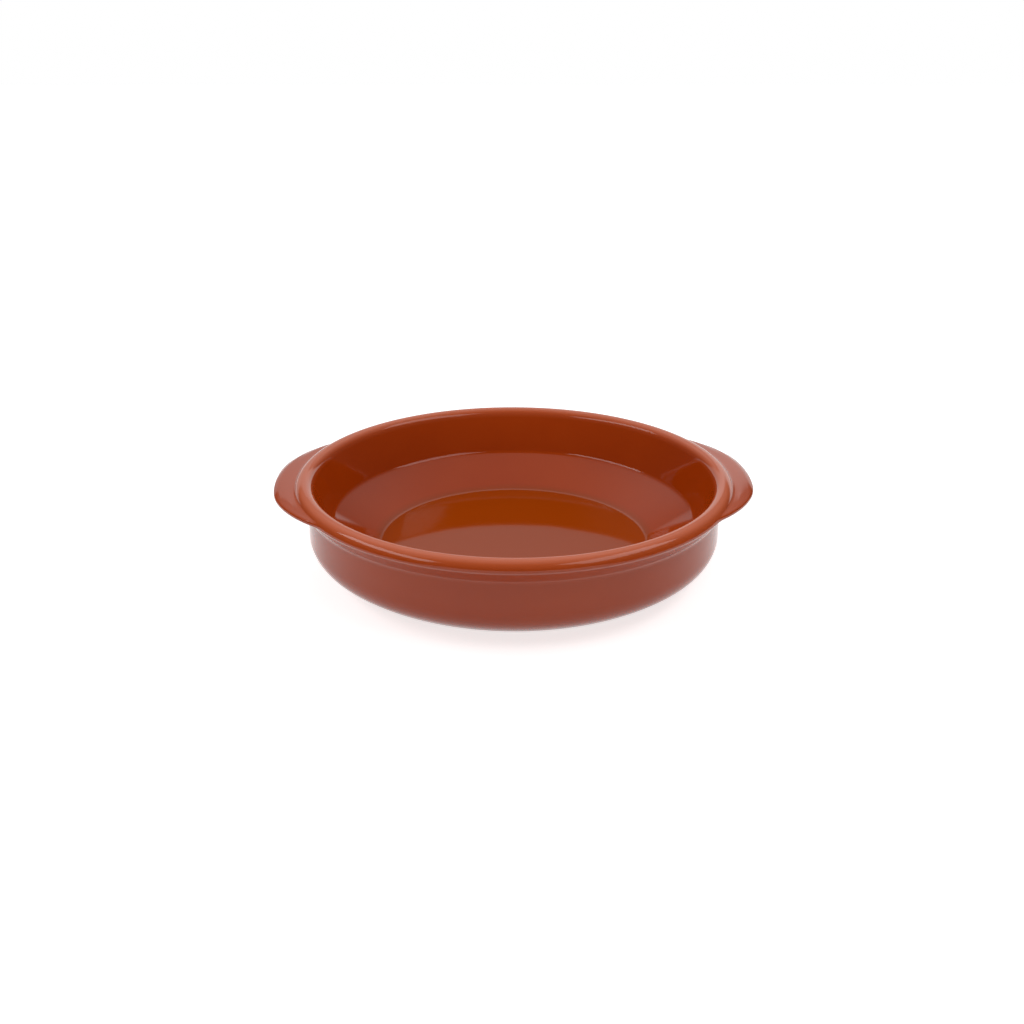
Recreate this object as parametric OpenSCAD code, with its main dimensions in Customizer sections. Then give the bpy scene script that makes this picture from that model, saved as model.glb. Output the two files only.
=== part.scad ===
// Cazuela: a round glazed clay dish for the oven and the table.
// One fired piece: a bowl with a rolled rim and two crescent lugs on the X axis.
// The origin is the centre of the flat base and +Z is up. All sizes are in millimetres.

/* [Rim] */
// Diameter over the rim
rim_d = 200; // [160:1:260]
// Width of the rim, from the mouth to its outer edge
rim_w = 8.8; // [6:0.1:12]
// Radius of the rim's inner edge
lip_r = 4; // [2:0.1:5]
// Width of the level crest between the inner edge and the outer fall
crest_w = 0.2; // [0.1:0.1:1]
// Slope at which the crest's outer fall gives way to the round nose
nose_turn = 75; // [50:1:80]
// Radius of the rim's round nose
nose_r = 1.1; // [0.8:0.05:2]
// Slope of the rim's underside, from the horizontal
flare_slope = 50; // [40:1:60]
// Radius of the hollow fillet between the rim's underside and the wall
under_r = 4; // [2:0.1:6]
// How far the rim stands out over the outside wall
overhang = 5.7; // [4:0.1:9]

/* [Body] */
// Height from the base to the crest of the rim
height = 42.5; // [34:0.5:60]
// How far the flat base sits in from the outside wall
foot_in = 28; // [22:0.5:45]
// Radius of the outside corner where it leaves the wall
corner_r = 12; // [8:0.5:18]
// Angle below the horizontal at which the corner opens into its wider arc
corner_turn = 48; // [35:1:60]

/* [Inside] */
// Thickness of the floor
floor_t = 8.4; // [4:0.1:10]
// How far the level floor sits in from the mouth
floor_in = 30; // [24:0.5:40]
// Radius of the bend between the floor and the band around it
floor_bend_r = 4; // [2:0.5:16]
// Slope of the band around the floor, from the horizontal
band_slope = 31; // [25:0.5:45]
// Radius of the bend between the band and the wall
bend_r = 4; // [2:0.5:10]
// Lean of the inner wall, from the vertical
wall_lean = 22; // [14:0.5:30]

/* [Lugs] */
// How far each lug stands out from the rim
lug_reach = 9; // [6:0.1:13]
// Radius of the lug's shoulders, seen from above
lug_outline_r = 67; // [60:1:80]
// How far the shoulders' circle would stand out past the lug's middle, which follows the rim
lug_flat = 1.2; // [0.6:0.1:2.5]
// Depth of the lug's upper face below the crest of the rim
lug_drop = 2.4; // [1.8:0.1:3]
// Thickness of the lug at its round edge
lug_t = 2.4; // [2:0.1:4]
// Thickness of the lug at its root
lug_root_t = 6.4; // [4:0.1:7]
// Width of the lug's sloping underside, from its edge to its root
lug_slope_w = 11.5; // [8:0.5:14]
// Radius of the hollow blend between the shoulders and the rim, seen from above
lug_blend_r = 22; // [15:1:60]

/* [Hidden] */
$fn = 128;
clay = [0.56, 0.25, 0.15];

// Angle covered by one facet of an arc in the section
arc_step = 4.5;

rim_r = rim_d / 2;
mouth_r = rim_r - rim_w;
body_r = rim_r - overhang;
base_r = body_r - foot_in;

// The rim is a chain of arcs: its inner edge, the crest's fall, the nose and a hollow fillet
lip_at = [mouth_r + lip_r, height - lip_r];
fall_from = lip_at[0] + crest_w;
fall_r = (rim_r - fall_from - nose_r * (1 - sin(nose_turn))) / sin(nose_turn);
fall_at = [fall_from, height - fall_r];
nose_at = fall_at + (fall_r - nose_r) * below(nose_turn - 90);
nose_end = nose_at + nose_r * below(90 - flare_slope);
flare_w = nose_end[0] - body_r - under_r * (1 - sin(flare_slope));
flare_low = nose_end[1] - flare_w * tan(flare_slope);
under_at = [body_r + under_r, flare_low - under_r * cos(flare_slope)];

// The foot is a chain of two arcs that meet with one tangent
foot_r = corner_r + (foot_in - corner_r) / cos(corner_turn);
foot_at = [base_r, foot_r];
corner_at = foot_at + (foot_r - corner_r) * below(corner_turn);

// The inside is a leaning wall, a sloping band and a level floor, with a bend between each two.
// The wall and the band are followed to the place where both lie one bend radius away.
band_turn = 90 - band_slope;
floor_at = [mouth_r - floor_in, floor_t + floor_bend_r];
wall_from = lip_at - (lip_r + bend_r) * below(wall_lean);
band_from = floor_at + (floor_bend_r - bend_r) * below(band_turn);
gap = wall_from - band_from;
band_w = (gap[0] * cos(wall_lean) - gap[1] * sin(wall_lean)) / cos(wall_lean + band_slope);
bend_at = band_from + band_w * below(-band_slope);

// Seen from above, the lug's shoulders lie on a disc, and a hollow blend is tangent to it and the rim
blend_sink = 0.4;
blend_inset = 0.15;
lug_disc_x = rim_r + lug_reach + lug_flat - lug_outline_r;
to_rim = rim_r - blend_sink + lug_blend_r;
to_lug = lug_outline_r - blend_inset + lug_blend_r;
blend_x = (to_rim ^ 2 - to_lug ^ 2 + lug_disc_x ^ 2) / (2 * lug_disc_x);
blend_y = sqrt(to_rim ^ 2 - blend_x ^ 2);
lug_top_z = height - lug_drop;

// Unit vector that points outward and down by an angle from the horizontal
function below(angle) = [cos(angle), -sin(angle)];

// Points along an arc, from one angle below the horizontal to another
function arc(at, r, from, to) =
    let (steps = max(2, ceil(abs(to - from) / arc_step)))
    [for (i = [0 : steps]) at + r * below(from + (to - from) * i / steps)];

// Half section of the bowl: up the outside, over the rim and down the inside
bowl_outline = concat(
    [[0, 0]],
    arc(foot_at, foot_r, 90, corner_turn),
    arc(corner_at, corner_r, corner_turn, 0),
    arc(under_at, under_r, 180, 270 - flare_slope),
    arc(nose_at, nose_r, 90 - flare_slope, nose_turn - 90),
    arc(fall_at, fall_r, nose_turn - 90, -90),
    arc(lip_at, lip_r, -90, wall_lean - 180),
    arc(bend_at, bend_r, wall_lean, band_turn),
    arc(floor_at, floor_bend_r, band_turn, 90),
    [[0, floor_t]]
);

// The bowl with its rim, without the lugs
module bowl() {
    rotate_extrude() polygon(bowl_outline);
}

// Section of a disc with a round edge, a level top and a sloping underside
module lug_section(outline_r, grow) {
    edge = outline_r - lug_t / 2 - grow;
    round_r = lug_t / 2 + grow;
    mid_z = lug_top_z - lug_t / 2;
    translate([edge, mid_z]) circle(round_r);
    polygon([
        [0, mid_z + round_r], [edge, mid_z + round_r], [edge, mid_z - round_r],
        [edge - lug_slope_w, lug_top_z - lug_root_t - grow], [0, lug_top_z - lug_root_t - grow],
    ]);
}

// The piece that fills the corner between a lug and the rim, hollowed to the blend
module lug_blend() {
    edge_r = lug_t / 2 - blend_inset;
    difference() {
        translate([0, 0, lug_top_z - lug_t + blend_inset]) linear_extrude(2 * edge_r)
            polygon([[0, 0], [lug_disc_x, 0], [blend_x, blend_y]]);
        translate([blend_x, blend_y, lug_top_z - lug_t / 2]) rotate_extrude()
            difference() {
                translate([0, -lug_t]) square([lug_blend_r + edge_r, 2 * lug_t]);
                translate([lug_blend_r + edge_r, 0]) circle(edge_r);
            }
    }
}

// One lug on +X, cut away inside the rim
module lug() {
    difference() {
        union() {
            intersection() {
                translate([lug_disc_x, 0, 0]) rotate_extrude() lug_section(lug_outline_r, 0);
                rotate_extrude() lug_section(rim_r + lug_reach, 0.1);
            }
            lug_blend();
            mirror([0, 1, 0]) lug_blend();
        }
        cylinder(h = 3 * height, r = body_r - 0.3, center = true);
        translate([-rim_d, -rim_d, -height]) cube([rim_d, 2 * rim_d, 3 * height]);
    }
}

module cazuela() {
    color(clay) {
        bowl();
        lug();
        mirror([1, 0, 0]) lug();
    }
}

cazuela();
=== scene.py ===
"""A round clay cazuela under one honey-brown glaze, on a pale floor in soft studio light.

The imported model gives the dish's overall size. The section below is turned about Z as one smooth
shell, and a node tree then grows the two crescent lugs out of its rim.
All lengths are in metres and all angles are in radians.
"""

import logging
import math
from dataclasses import dataclass, field
from enum import Enum

import bpy
import numpy as np
from mathutils import Euler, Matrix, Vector

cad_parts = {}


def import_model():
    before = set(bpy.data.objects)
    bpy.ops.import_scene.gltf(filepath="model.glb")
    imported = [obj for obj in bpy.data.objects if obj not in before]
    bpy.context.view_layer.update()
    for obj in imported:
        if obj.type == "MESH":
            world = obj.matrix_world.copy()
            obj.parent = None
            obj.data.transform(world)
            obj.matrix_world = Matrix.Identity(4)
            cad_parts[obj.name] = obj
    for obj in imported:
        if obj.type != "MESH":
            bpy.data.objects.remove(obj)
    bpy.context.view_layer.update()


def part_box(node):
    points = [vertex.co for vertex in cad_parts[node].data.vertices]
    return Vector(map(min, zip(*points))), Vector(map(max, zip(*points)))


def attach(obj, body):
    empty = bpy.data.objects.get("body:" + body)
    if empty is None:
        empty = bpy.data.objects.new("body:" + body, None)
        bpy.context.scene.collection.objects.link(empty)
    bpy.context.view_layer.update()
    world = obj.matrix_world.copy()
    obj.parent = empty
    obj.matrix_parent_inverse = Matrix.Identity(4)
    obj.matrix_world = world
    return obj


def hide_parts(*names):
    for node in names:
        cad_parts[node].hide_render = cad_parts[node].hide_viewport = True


LOG = logging.getLogger("cazuela")
NODE_NAME = "cazuela"
MM = 0.001
TINY = 1e-4
FLAG_LIMIT = 0.5
Colour = tuple[float, float, float]
Point = tuple[float, float, float]
Span = tuple[float, float]


class Part(Enum):
    """The names of the pieces and of what they are made of."""

    DISH = "glazed_dish"
    SLOT = "glaze"
    BODY = "root"
    FLOOR = "floor"
    # Painted highlight: marks the rim's crest, which gets a paler, pinker colour where it catches the
    # light.
    THIN = "painted_crest_highlight"
    POOL = "pooled_glaze"


def below(angle: float) -> np.ndarray:
    """Unit vector in the section that points outward and down by an angle.

    Args:
        angle: The angle below the horizontal.

    Returns:
        The vector, as radius and height.
    """
    return np.array([math.cos(angle), -math.sin(angle)])


def arc(centre: np.ndarray, radius: float, start: float, end: float, step: float) -> list[np.ndarray]:
    """Points along an arc of the section.

    Args:
        centre: Centre of the arc, as radius and height.
        radius: Radius of the arc.
        start: First angle below the horizontal.
        end: Last angle below the horizontal.
        step: Greatest distance between two points.

    Returns:
        The points, the first and the last included.
    """
    count = max(3, math.ceil(abs(end - start) * radius / step))
    return [centre + radius * below(start + (end - start) * i / count) for i in range(count + 1)]


def fade(value: np.ndarray, full: float, none: float) -> np.ndarray:
    """Share that is one up to a value and falls evenly to nought at another.

    Args:
        value: The values to weigh.
        full: The last value that counts whole.
        none: The first value that doesn't count.

    Returns:
        The shares, from nought to one.
    """
    return np.clip((none - value) / (none - full), 0.0, 1.0)


class Field:
    """A number field in a node tree, so that a formula reads as one."""

    def __init__(self, tree: bpy.types.NodeTree, socket: bpy.types.NodeSocket | float) -> None:
        """Holds a socket, or a plain number, of a tree."""
        self.tree = tree
        self.socket = socket

    def math(self, operation: str, *others: "Field | float") -> "Field":
        """Adds a Math node.

        Args:
            operation: The Math node's operation.
            others: The second and third operands.

        Returns:
            The node's result.
        """
        node = self.tree.nodes.new("ShaderNodeMath")
        node.operation = operation
        for slot, operand in zip(node.inputs, (self, *others)):
            value = operand.socket if isinstance(operand, Field) else operand
            if isinstance(value, (int, float)):
                slot.default_value = value
            else:
                self.tree.links.new(value, slot)
        return Field(self.tree, node.outputs[0])

    def __add__(self, other: "Field | float") -> "Field":
        """Sum of two fields."""
        return self.math("ADD", other)

    def __sub__(self, other: "Field | float") -> "Field":
        """Difference of two fields."""
        return self.math("SUBTRACT", other)

    def __mul__(self, other: "Field | float") -> "Field":
        """Product of two fields."""
        return self.math("MULTIPLY", other)

    def __truediv__(self, other: "Field | float") -> "Field":
        """Quotient of two fields."""
        return self.math("DIVIDE", other)

    def root(self) -> "Field":
        """Square root, taken as nought below nought."""
        return self.math("MAXIMUM", 0.0).math("SQRT")

    def ease(self, start: float, end: float, low: float, high: float) -> "Field":
        """Smooth step of this field from one level to another.

        Args:
            start: Where the step starts.
            end: Where it ends.
            low: Level before the step.
            high: Level after it.

        Returns:
            The level.
        """
        node = self.tree.nodes.new("ShaderNodeMapRange")
        node.interpolation_type = "SMOOTHSTEP"
        for name, value in (("From Min", start), ("From Max", end), ("To Min", low), ("To Max", high)):
            node.inputs[name].default_value = value
        self.tree.links.new(self.socket, node.inputs["Value"])
        return Field(self.tree, node.outputs["Result"])

    def choose(self, limit: "Field | float", above: "Field", under: "Field") -> "Field":
        """One field where this one is over a limit, and another where it isn't.

        Args:
            limit: The limit.
            above: The field over the limit.
            under: The field at the limit and under it.

        Returns:
            The chosen field.
        """
        over = self.math("GREATER_THAN", limit)
        return above * over + under * (over * -1.0 + 1.0)


def ray_is(tree: bpy.types.NodeTree, *kinds: str) -> Field:
    """Tells the rays of some kinds from all others.

    Args:
        tree: The node tree of a material or a world.
        kinds: Outputs of the Light Path node.

    Returns:
        One for a ray of any of the kinds, and nought for another.
    """
    path = tree.nodes.new("ShaderNodeLightPath")
    found, *others = (Field(tree, path.outputs[kind]) for kind in kinds)
    for other in others:
        found = found.math("MAXIMUM", other)
    return found


@dataclass(frozen=True)
class GlazeFinish:
    """Clear honey-brown glaze over red clay, browner where it pools, with a paler, pinker painted
    highlight on the rim's crest.
    """

    name: str = "honey_glaze"
    light: Colour = (0.49, 0.060, 0.003)
    deep: Colour = (0.43, 0.047, 0.001)
    # Painted highlight: the paler, pinker colour that the rim's crest takes where it catches the light.
    crest_highlight: Colour = (0.64, 0.13, 0.045)
    pool: Colour = (0.385, 0.054, 0.001)
    roughness: float = 0.06
    roughness_spread: float = 0.04
    ior: float = 1.4
    mottle_scale: float = 16.0
    mottle_detail: float = 4.0
    mottle_span: Span = (0.3, 0.75)
    ripple_scale: float = 55.0
    ripple_detail: float = 1.0
    ripple_height: float = 0.03 * MM

    def build(self) -> bpy.types.Material:
        """Makes the glaze.

        Returns:
            The material.
        """
        material = bpy.data.materials.new(self.name)
        material.use_nodes = True
        tree = material.node_tree
        shader = tree.nodes["Principled BSDF"]
        shader.inputs["IOR"].default_value = self.ior
        place = tree.nodes.new("ShaderNodeTexCoord").outputs["Object"]
        mottle = self.noise(tree, place, self.mottle_scale, self.mottle_detail)
        ramp = tree.nodes.new("ShaderNodeValToRGB")
        for i, (position, colour) in enumerate(zip(self.mottle_span, (self.deep, self.light))):
            ramp.color_ramp.elements[i].position = position
            ramp.color_ramp.elements[i].color = (*colour, 1.0)
        tree.links.new(mottle.socket, ramp.inputs["Fac"])
        coat = self.tinge(tree, ramp.outputs["Color"], Part.POOL, self.pool)
        # Painted highlight: turns the rim's crest paler and pinker.
        coat = self.tinge(tree, coat, Part.THIN, self.crest_highlight)
        tree.links.new(coat, shader.inputs["Base Color"])
        sheen = mottle * self.roughness_spread + (self.roughness - self.roughness_spread / 2)
        tree.links.new(sheen.socket, shader.inputs["Roughness"])
        bump = tree.nodes.new("ShaderNodeBump")
        bump.inputs["Distance"].default_value = self.ripple_height
        ripple = self.noise(tree, place, self.ripple_scale, self.ripple_detail)
        tree.links.new(ripple.socket, bump.inputs["Height"])
        tree.links.new(bump.outputs["Normal"], shader.inputs["Normal"])
        return material

    @staticmethod
    def tinge(
        tree: bpy.types.NodeTree, coat: bpy.types.NodeSocket, part: Part, colour: Colour
    ) -> bpy.types.NodeSocket:
        """Turns the coat towards another colour where an attribute of the piece says so.

        Args:
            tree: The material's node tree.
            coat: The colour so far.
            part: The attribute, from nought to one.
            colour: The colour where the attribute is one.

        Returns:
            The new colour.
        """
        share = tree.nodes.new("ShaderNodeAttribute")
        share.attribute_name = part.value
        mix = tree.nodes.new("ShaderNodeMix")
        mix.data_type = "RGBA"
        mix.inputs["B"].default_value = (*colour, 1.0)
        tree.links.new(share.outputs["Fac"], mix.inputs["Factor"])
        tree.links.new(coat, mix.inputs["A"])
        return mix.outputs["Result"]

    @staticmethod
    def noise(tree: bpy.types.NodeTree, place: bpy.types.NodeSocket, scale: float, detail: float) -> Field:
        """Adds a noise pattern to a material's tree.

        Args:
            tree: The material's node tree.
            place: The coordinates that the pattern reads.
            scale: The pattern's scale.
            detail: How many finer patterns it holds.

        Returns:
            The pattern, from nought to one.
        """
        node = tree.nodes.new("ShaderNodeTexNoise")
        node.inputs["Scale"].default_value = scale
        node.inputs["Detail"].default_value = detail
        tree.links.new(place, node.inputs["Vector"])
        return Field(tree, node.outputs["Fac"])


@dataclass
class Section:
    """Half section of the dish, up the outside, over the rim and down the inside."""

    rim_r: float
    height: float
    rim_w: float = 8.8 * MM
    lip_r: float = 4 * MM
    crest_w: float = 0.2 * MM
    nose_turn: float = math.radians(75)
    nose_r: float = 1.1 * MM
    flare_slope: float = math.radians(50)
    under_r: float = 4 * MM
    overhang: float = 5.7 * MM
    foot_in: float = 28 * MM
    corner_r: float = 12 * MM
    corner_turn: float = math.radians(48)
    floor_t: float = 8.4 * MM
    floor_in: float = 30 * MM
    floor_bend_r: float = 4 * MM
    band_slope: float = math.radians(31)
    bend_r: float = 4 * MM
    wall_lean: float = math.radians(22)
    step: float = 1.1 * MM
    fine_step: float = 0.25 * MM
    longest: float = 1.65 * MM
    shortest: float = 0.0625 * MM
    # Painted highlight on the crest: full this near it, gone this far from it.
    highlight_full: float = 2 * MM
    highlight_none: float = 6 * MM
    pool_full: float = 0.5 * MM
    pool_none: float = 2 * MM

    def outside(self) -> list[np.ndarray]:
        """Points from the base's edge up to the fillet under the rim."""
        body_r = self.rim_r - self.overhang
        foot_r = self.corner_r + (self.foot_in - self.corner_r) / math.cos(self.corner_turn)
        foot_at = np.array([body_r - self.foot_in, foot_r])
        corner_at = foot_at + (foot_r - self.corner_r) * below(self.corner_turn)
        return [
            *arc(foot_at, foot_r, math.pi / 2, self.corner_turn, self.step),
            *arc(corner_at, self.corner_r, self.corner_turn, 0.0, self.step)[1:],
        ]

    def rim(self) -> list[np.ndarray]:
        """Points from the fillet under the rim, round the nose, to the foot of the inner edge."""
        quarter = math.pi / 2
        fall_from = self.lip_at()[0] + self.crest_w
        nose_w = self.nose_r * (1 - math.sin(self.nose_turn))
        fall_r = (self.rim_r - fall_from - nose_w) / math.sin(self.nose_turn)
        fall_at = np.array([fall_from, self.height - fall_r])
        nose_at = fall_at + (fall_r - self.nose_r) * below(self.nose_turn - quarter)
        nose_end = nose_at + self.nose_r * below(quarter - self.flare_slope)
        under_x = self.rim_r - self.overhang + self.under_r
        flare_w = nose_end[0] - under_x + self.under_r * math.sin(self.flare_slope)
        flare_low = nose_end[1] - flare_w * math.tan(self.flare_slope)
        under_at = np.array([under_x, flare_low - self.under_r * math.cos(self.flare_slope)])
        fine = self.fine_step
        return [
            *arc(under_at, self.under_r, math.pi, 3 * quarter - self.flare_slope, fine),
            *arc(nose_at, self.nose_r, quarter - self.flare_slope, self.nose_turn - quarter, fine),
            *arc(fall_at, fall_r, self.nose_turn - quarter, -quarter, fine)[1:],
            *arc(self.lip_at(), self.lip_r, -quarter, self.wall_lean - math.pi, fine),
        ]

    def inside(self) -> list[np.ndarray]:
        """Points from the bend below the inner wall down to the level floor."""
        lean, slope = self.wall_lean, self.band_slope
        band_turn = math.pi / 2 - slope
        mouth_r = self.rim_r - self.rim_w
        floor_at = np.array([mouth_r - self.floor_in, self.floor_t + self.floor_bend_r])
        wall_from = self.lip_at() - (self.lip_r + self.bend_r) * below(lean)
        band_from = floor_at + (self.floor_bend_r - self.bend_r) * below(band_turn)
        gap = wall_from - band_from
        band_w = (gap[0] * math.cos(lean) - gap[1] * math.sin(lean)) / math.cos(lean + slope)
        bend_at = band_from + band_w * below(-slope)
        return [
            *arc(bend_at, self.bend_r, lean, band_turn, self.fine_step),
            *arc(floor_at, self.floor_bend_r, band_turn, math.pi / 2, 2 * self.fine_step),
        ]

    def lip_at(self) -> np.ndarray:
        """Centre of the rim's inner edge."""
        return np.array([self.rim_r - self.rim_w + self.lip_r, self.height - self.lip_r])

    def crest_highlight_share(self, line: np.ndarray) -> np.ndarray:
        """How strongly the rim's crest gets its painted highlight, which fades with distance from the
        crest.

        Args:
            line: Points of the section.

        Returns:
            A share for each point, from nought to one.
        """
        away = np.hypot(line[:, 0] - self.lip_at()[0] - self.crest_w, line[:, 1] - self.height)
        return fade(away, self.highlight_full, self.highlight_none)

    def pooling(self, line: np.ndarray) -> np.ndarray:
        """How far the glaze has pooled, which is on the floor inside.

        Args:
            line: The whole half section.

        Returns:
            A share for each point, from nought to one.
        """
        inside = np.arange(len(line)) > np.argmax(line[:, 1])
        return inside * fade(line[:, 1] - self.floor_t, self.pool_full, self.pool_none)

    def points(self) -> np.ndarray:
        """The whole half section, with no long gap and no point twice.

        Returns:
            The points, without the two ends on the axis.
        """
        line = [self.outside()[0]]
        for point in [*self.outside(), *self.rim(), *self.inside(), np.array([0.0, self.floor_t])]:
            gap = np.linalg.norm(point - line[-1])
            if gap < self.shortest:
                continue
            extra = math.ceil(gap / self.longest)
            line += [line[-1] + (point - line[-1]) * i / extra for i in range(1, extra)]
            line.append(point)
        return np.array(line[:-1])


@dataclass
class Lugs:
    """The two crescent lugs, grown out of the rim's roll by a node tree."""

    rim_r: float
    height: float
    reach: float
    shoulder_r: float = 67 * MM
    flat: float = 1.2 * MM
    drop: float = 2.4 * MM
    thickness: float = 2.4 * MM
    root_thickness: float = 6.4 * MM
    slope_width: float = 11.5 * MM
    heart_in: float = 6.0 * MM
    glaze_blend: float = 1.2 * MM
    plan_blend: float = 1.6 * MM
    outward_limit: float = 0.05

    def tree(self, glaze: bpy.types.Material) -> bpy.types.GeometryNodeTree:
        """Builds the node tree that grows the lugs.

        Args:
            glaze: The material that the tree sets on the shell.

        Returns:
            The tree, with its sizes as named inputs.
        """
        tree = bpy.data.node_groups.new("grow_lugs", "GeometryNodeTree")
        face = tree.interface
        face.new_socket("Geometry", in_out="INPUT", socket_type="NodeSocketGeometry")
        for name in self.inputs():
            face.new_socket(name, in_out="INPUT", socket_type="NodeSocketFloat")
        face.new_socket("Geometry", in_out="OUTPUT", socket_type="NodeSocketGeometry")
        start = tree.nodes.new("NodeGroupInput")
        size = {name: Field(tree, start.outputs[name]) for name in self.inputs()}
        moved = tree.nodes.new("GeometryNodeSetPosition")
        tree.links.new(start.outputs["Geometry"], moved.inputs["Geometry"])
        tree.links.new(self.place(tree, size), moved.inputs["Position"])
        whole = tree.nodes.new("GeometryNodeRealizeInstances")
        dressed = tree.nodes.new("GeometryNodeSetMaterial")
        dressed.inputs["Material"].default_value = glaze
        end = tree.nodes.new("NodeGroupOutput")
        tree.links.new(moved.outputs["Geometry"], whole.inputs["Geometry"])
        tree.links.new(whole.outputs["Geometry"], dressed.inputs["Geometry"])
        tree.links.new(dressed.outputs["Geometry"], end.inputs["Geometry"])
        return tree

    def inputs(self) -> dict[str, float]:
        """The tree's named sizes.

        Returns:
            Each size's value by its name.
        """
        return {
            "Rim radius": self.rim_r,
            "Lug reach": self.reach,
            "Lug flat": self.flat,
            "Shoulder radius": self.shoulder_r,
            "Half thickness": self.thickness / 2,
            "Underside slope": (self.root_thickness - self.thickness) / self.slope_width,
            "Heart radius": self.rim_r - self.heart_in,
            "Heart height": self.height - self.drop - self.thickness / 2,
            "Glaze blend": self.glaze_blend,
            "Plan blend": self.plan_blend,
        }

    def place(self, tree: bpy.types.NodeTree, size: dict[str, Field]) -> bpy.types.NodeSocket:
        """New place of each point of the shell.

        The section of rim and lug is seen from one point inside the rim, the heart. Each point of
        the shell moves straight away from it, out to the lug's own section where that is further.
        Points on the heart's inner side stay where they are.

        Args:
            tree: The node tree.
            size: The tree's named sizes.

        Returns:
            The socket with the new position.
        """
        split = tree.nodes.new("ShaderNodeSeparateXYZ")
        tree.links.new(tree.nodes.new("GeometryNodeInputPosition").outputs[0], split.inputs[0])
        x, y, z = (Field(tree, socket) for socket in split.outputs)
        radius = (x * x + y * y).root()
        along = x.math("ABSOLUTE") / radius
        across = y / radius
        out = radius - size["Heart radius"]
        up = z - size["Heart height"]
        plain = (out * out + up * up).root()
        right = out / plain
        rise = up / plain
        edge = self.edge_distance(size, along, across)
        lug = self.lug_distance(size, edge, right, rise)
        far = plain.math("SMOOTH_MAX", lug, size["Glaze blend"])
        far = right.choose(self.outward_limit, far, plain)
        join = tree.nodes.new("ShaderNodeCombineXYZ")
        new_radius = size["Heart radius"] + far * right
        moved = (x * new_radius / radius, y * new_radius / radius, size["Heart height"] + far * rise)
        for value, slot in zip(moved, join.inputs):
            tree.links.new(value.socket, slot)
        return join.outputs[0]

    @staticmethod
    def edge_distance(size: dict[str, Field], along: Field, across: Field) -> Field:
        """Distance from the heart out to the middle of the lug's round edge.

        Args:
            size: The tree's named sizes.
            along: Cosine of the angle from the lugs' axis.
            across: Sine of that angle.

        Returns:
            The distance, which is nought or less where there is no lug.
        """
        tip = size["Rim radius"] + size["Lug reach"]
        disc_x = tip + size["Lug flat"] - size["Shoulder radius"]
        chord = size["Shoulder radius"] * size["Shoulder radius"] - disc_x * disc_x * across * across
        shoulder = disc_x * along + chord.root()
        outline = shoulder.math("SMOOTH_MIN", tip, size["Plan blend"])
        inner = size["Rim radius"] - size["Half thickness"]
        outline = outline.math("SMOOTH_MAX", inner, size["Plan blend"])
        return outline - size["Half thickness"] - size["Heart radius"]

    @staticmethod
    def lug_distance(size: dict[str, Field], edge: Field, right: Field, rise: Field) -> Field:
        """Distance from the heart to the lug's surface, along a ray in the section.

        Args:
            size: The tree's named sizes.
            edge: Distance from the heart to the middle of the round edge.
            right: The ray's outward part.
            rise: The ray's upward part.

        Returns:
            The distance.
        """
        half = size["Half thickness"]
        nose = edge * right + (edge * edge * right * right - edge * edge + half * half).root()
        top = half / rise.math("MAXIMUM", TINY)
        fall = (size["Underside slope"] * right - rise).math("MAXIMUM", TINY)
        under = (half + size["Underside slope"] * edge) / fall
        above = (top * right).math("LESS_THAN", edge)
        beneath = (under * right).math("LESS_THAN", edge)
        sloped = beneath.choose(FLAG_LIMIT, under, nose)
        flat = above.choose(FLAG_LIMIT, top, nose)
        return rise.choose(0.0, flat, sloped)


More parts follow.
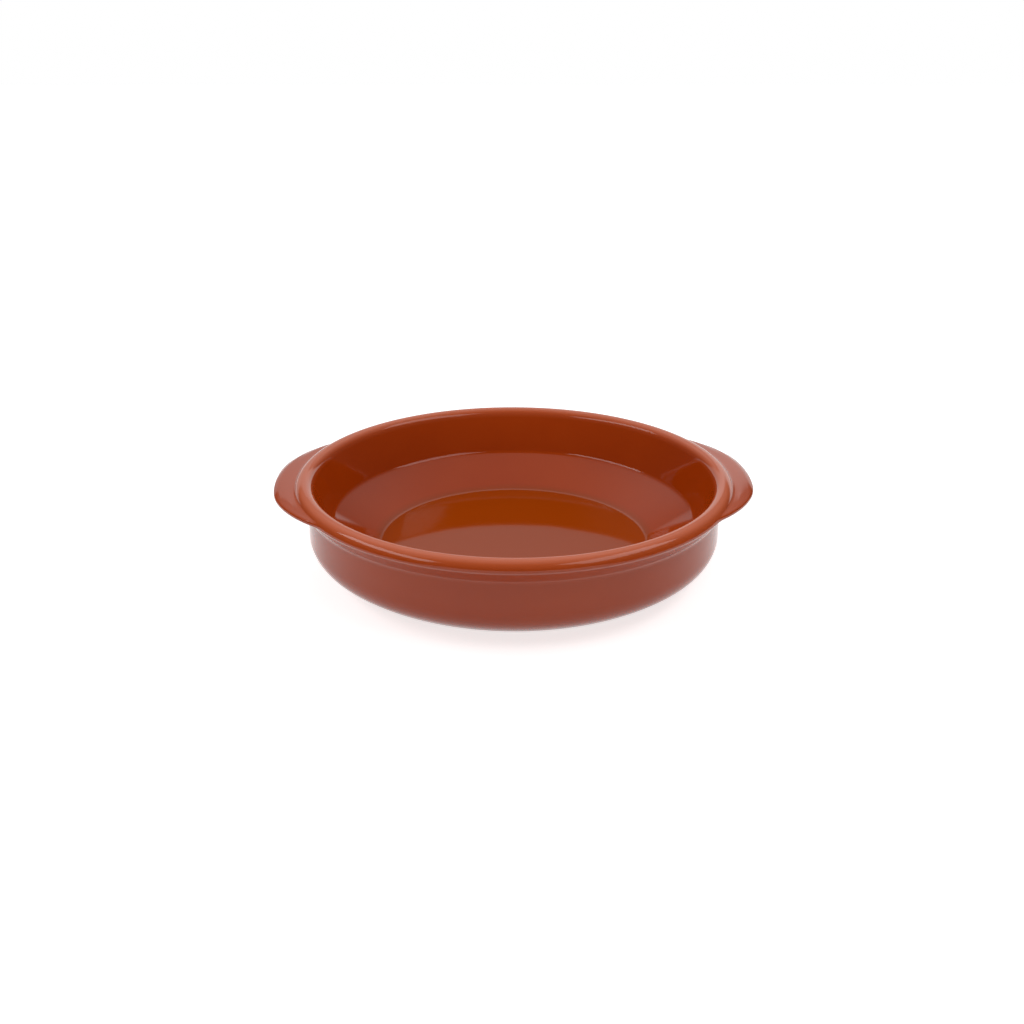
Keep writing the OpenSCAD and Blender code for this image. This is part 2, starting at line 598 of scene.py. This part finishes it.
@dataclass
class GlazedDish:
    """The whole dish, as one closed shell with its lugs."""

    section: Section
    lugs: Lugs
    finish: GlazeFinish = field(default_factory=GlazeFinish)
    turns: int = 360

    def shell(self) -> bpy.types.Object:
        """Turns the section about Z into a closed shell.

        Returns:
            The shell, without its lugs.
        """
        line = self.section.points()
        around = np.linspace(0.0, 2.0 * math.pi, self.turns, endpoint=False)
        rings = [
            np.column_stack([r * np.cos(around), r * np.sin(around), np.full(self.turns, z)])
            for r, z in line
        ]
        vertices = [tuple(point) for ring in rings for point in ring]
        base, floor = len(vertices), len(vertices) + 1
        vertices += [(0.0, 0.0, 0.0), (0.0, 0.0, self.section.floor_t)]
        faces = []
        for ring in range(len(rings) - 1):
            for i in range(self.turns):
                k = (i + 1) % self.turns
                low, high = ring * self.turns, (ring + 1) * self.turns
                faces.append((low + i, low + k, high + k, high + i))
        last = (len(rings) - 1) * self.turns
        for i in range(self.turns):
            k = (i + 1) % self.turns
            faces.append((base, k, i))
            faces.append((floor, last + i, last + k))
        mesh = bpy.data.meshes.new(Part.DISH.value)
        mesh.from_pydata(vertices, [], faces)
        mesh.validate()
        mesh.shade_smooth()
        self.mark(mesh, line)
        piece = bpy.data.objects.new("plain_shell", mesh)
        bpy.context.scene.collection.objects.link(piece)
        return piece

    def mark(self, mesh: bpy.types.Mesh, line: np.ndarray) -> None:
        """Writes on each point of the shell how much painted highlight the rim's crest gives it and how
        pooled the glaze is there.

        Args:
            mesh: The shell, ring by ring, with the middles of the base and the floor last.
            line: The half section that it was turned from.
        """
        shares = {
            # Painted highlight on the rim's crest, none at the floor's middle.
            Part.THIN: (self.section.crest_highlight_share(line), 0.0),
            Part.POOL: (self.section.pooling(line), 1.0),
        }
        for part, (share, floor_middle) in shares.items():
            values = np.append(np.repeat(share, self.turns), [0.0, floor_middle])
            layer = mesh.attributes.new(part.value, "FLOAT", "POINT")
            layer.data.foreach_set("value", values.astype(np.float32))

    def build(self) -> bpy.types.Object:
        """Makes the finished dish.

        Returns:
            The dish as a plain mesh, dressed in its glaze.
        """
        plain = self.shell()
        modifier = plain.modifiers.new("lugs", "NODES")
        modifier.node_group = self.lugs.tree(self.finish.build())
        values = self.lugs.inputs()
        for item in modifier.node_group.interface.items_tree:
            if item.in_out == "INPUT" and item.name in values:
                modifier[item.identifier] = values[item.name]
        graph = bpy.context.evaluated_depsgraph_get()
        mesh = bpy.data.meshes.new_from_object(plain.evaluated_get(graph))
        mesh.name = Part.DISH.value
        bpy.data.objects.remove(plain)
        piece = bpy.data.objects.new(Part.DISH.value, mesh)
        bpy.context.scene.collection.objects.link(piece)
        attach(piece, Part.BODY.value)
        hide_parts(NODE_NAME)
        return piece


@dataclass(frozen=True)
class Softbox:
    """One rectangular studio lamp."""

    name: str
    place: Point
    aim: Point
    width: float
    height: float
    power: float

    def build(self) -> None:
        """Makes the lamp."""
        lamp = bpy.data.lights.new(self.name, "AREA")
        lamp.shape = "RECTANGLE"
        lamp.size = self.width
        lamp.size_y = self.height
        lamp.energy = self.power
        piece = bpy.data.objects.new(self.name, lamp)
        piece.location = self.place
        heading = Vector(self.aim) - Vector(self.place)
        piece.rotation_euler = heading.to_track_quat("-Z", "Y").to_euler()
        bpy.context.scene.collection.objects.link(piece)


@dataclass(frozen=True)
class Room:
    """The room's soft light by direction, where x is aside, y away from the camera and z up.

    Each span holds the two places on an axis between which a light comes up or goes down.
    """

    dark: float = 0.06
    ceiling: float = 0.62
    ceiling_tilt: float = 0.35
    ceiling_edge: Span = (0.45, 1.0)
    ceiling_front: Span = (-0.28, 0.0)
    back_light: float = 0.5
    back_light_aim: Span = (0.64, 0.77)
    back_light_edge: Span = (0.86, 1.0)
    front: float = 1.5
    front_depth: Span = (-0.85, -0.6)
    front_top: Span = (0.10, 0.28)
    horizon_top: Span = (0.015, 0.06)
    sides: Span = (0.70, 0.82)
    backdrop: float = 0.9
    backdrop_top: Span = (0.38, 0.40)
    backdrop_taper: float = 1.35
    backdrop_depth: Span = (0.0, 0.3)
    backdrop_turn: Span = (-0.30, 0.15)
    backdrop_levels: Span = (0.7, 1.1)

    def level(self, x: Field, y: Field, z: Field) -> Field:
        """Strength of the light from one direction.

        Args:
            x: The direction's part to the right.
            y: Its part away from the camera.
            z: Its part upward.

        Returns:
            The strength, where one is white.
        """
        aside = x.math("ABSOLUTE")
        above = (z + y * self.ceiling_tilt).ease(*self.ceiling_edge, 0.0, self.ceiling)
        above = above * y.ease(*self.ceiling_front, 0.0, 1.0)
        away, up = self.back_light_aim
        high = (z * up + y * away).ease(*self.back_light_edge, 0.0, self.back_light)
        front = y.ease(*self.front_depth, self.front, 0.0) * z.ease(*self.front_top, 1.0, 0.0)
        horizon = z.ease(*self.horizon_top, 1.0, 0.0) * aside.ease(*self.sides, 1.0, 0.0)
        width = (aside + z * self.backdrop_taper).ease(*self.sides, 1.0, 0.0)
        width = width * y.ease(*self.backdrop_depth, 0.0, 1.0)
        behind = z.ease(*self.backdrop_top, self.backdrop, 0.0)
        behind = behind * x.ease(*self.backdrop_turn, *self.backdrop_levels) * width
        level = above + high + front + self.dark
        return level.math("MAXIMUM", horizon).math("MAXIMUM", behind)

    def build(self) -> None:
        """Lights the world by direction. The camera sees it as plain white."""
        world = bpy.data.worlds.new("room")
        world.use_nodes = True
        bpy.context.scene.world = world
        tree = world.node_tree
        back = tree.nodes["Background"]
        split = tree.nodes.new("ShaderNodeSeparateXYZ")
        tree.links.new(tree.nodes.new("ShaderNodeTexCoord").outputs["Generated"], split.inputs[0])
        level = self.level(*(Field(tree, socket) for socket in split.outputs))
        level = level.math("MAXIMUM", ray_is(tree, "Is Camera Ray"))
        tint = tree.nodes.new("ShaderNodeCombineColor")
        for name in ("Red", "Green", "Blue"):
            tree.links.new(level.socket, tint.inputs[name])
        tree.links.new(tint.outputs["Color"], back.inputs["Color"])
        back.inputs["Strength"].default_value = 1.0


@dataclass
class Studio:
    """The floor, the light and the camera."""

    rim_height: float
    room: Room = field(default_factory=Room)
    floor_half: float = 4.0
    floor_grey: float = 0.8
    floor_roughness: float = 0.9
    floor_glow: float = 0.74
    view_down: float = math.radians(20.82)
    view_turn: float = math.radians(-2.9)
    view_roll: float = math.radians(0.19)
    distance: float = 0.552
    lens_mm: float = 42.19
    sensor_mm: float = 36.0
    nearest: float = 0.01
    shift: Span = (-0.0019, -0.0401)

    def floor(self) -> None:
        """Lays the pale floor that the dish stands on.

        Its glow is seen and reflected, and puts no light on the dish.
        """
        half = self.floor_half
        mesh = bpy.data.meshes.new(Part.FLOOR.value)
        corners = [(-half, -half, 0.0), (half, -half, 0.0), (half, half, 0.0), (-half, half, 0.0)]
        mesh.from_pydata(corners, [], [(0, 1, 2, 3)])
        floor = bpy.data.objects.new(Part.FLOOR.value, mesh)
        bpy.context.scene.collection.objects.link(floor)
        material = bpy.data.materials.new("pale_floor")
        material.use_nodes = True
        tree = material.node_tree
        shader = tree.nodes["Principled BSDF"]
        shader.inputs["Base Color"].default_value = (*[self.floor_grey] * 3, 1.0)
        shader.inputs["Roughness"].default_value = self.floor_roughness
        shader.inputs["Emission Color"].default_value = (1.0, 1.0, 1.0, 1.0)
        seen = ray_is(tree, "Is Camera Ray", "Is Glossy Ray", "Is Transmission Ray")
        tree.links.new((seen * self.floor_glow).socket, shader.inputs["Emission Strength"])
        mesh.materials.append(material)

    def lamps(self) -> None:
        """Sets one softbox at each side, above the dish and a little in front of it."""
        aim = (0.0, 0.0, self.rim_height)
        left_place, right_place = (-0.70, -0.15, 0.66), (0.50, -0.21, 0.74)
        Softbox("left_softbox", left_place, aim, width=0.90, height=0.25, power=2.5).build()
        Softbox("right_softbox", right_place, aim, width=0.80, height=0.36, power=2.2).build()

    def camera(self) -> None:
        """Sets the camera at the photograph's angle."""
        lens = bpy.data.cameras.new("camera")
        lens.lens = self.lens_mm
        lens.sensor_width = self.sensor_mm
        lens.clip_start = self.nearest
        lens.shift_x, lens.shift_y = self.shift
        camera = bpy.data.objects.new("camera", lens)
        turn = Euler((math.pi / 2 - self.view_down, 0.0, self.view_turn)).to_matrix()
        back = turn @ Vector((0.0, 0.0, self.distance))
        camera.location = Vector((0.0, 0.0, self.rim_height)) + back
        roll = Euler((0.0, 0.0, self.view_roll)).to_matrix()
        camera.rotation_euler = (turn @ roll).to_euler()
        bpy.context.scene.collection.objects.link(camera)
        bpy.context.scene.camera = camera

    def build(self) -> None:
        """Makes the whole studio."""
        self.floor()
        self.room.build()
        self.lamps()
        self.camera()
        bpy.context.scene.view_settings.view_transform = "Standard"


def main() -> None:
    """Builds the dish and the studio."""
    logging.basicConfig(level=logging.INFO)
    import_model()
    low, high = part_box(NODE_NAME)
    rim_r, height, reach = high[1], high[2], high[0] - high[1]
    dish = GlazedDish(Section(rim_r, height), Lugs(rim_r, height, reach)).build()
    LOG.info("%s: %d faces", dish.name, len(dish.data.polygons))
    Studio(height).build()


if __name__ == "__main__":
    main()
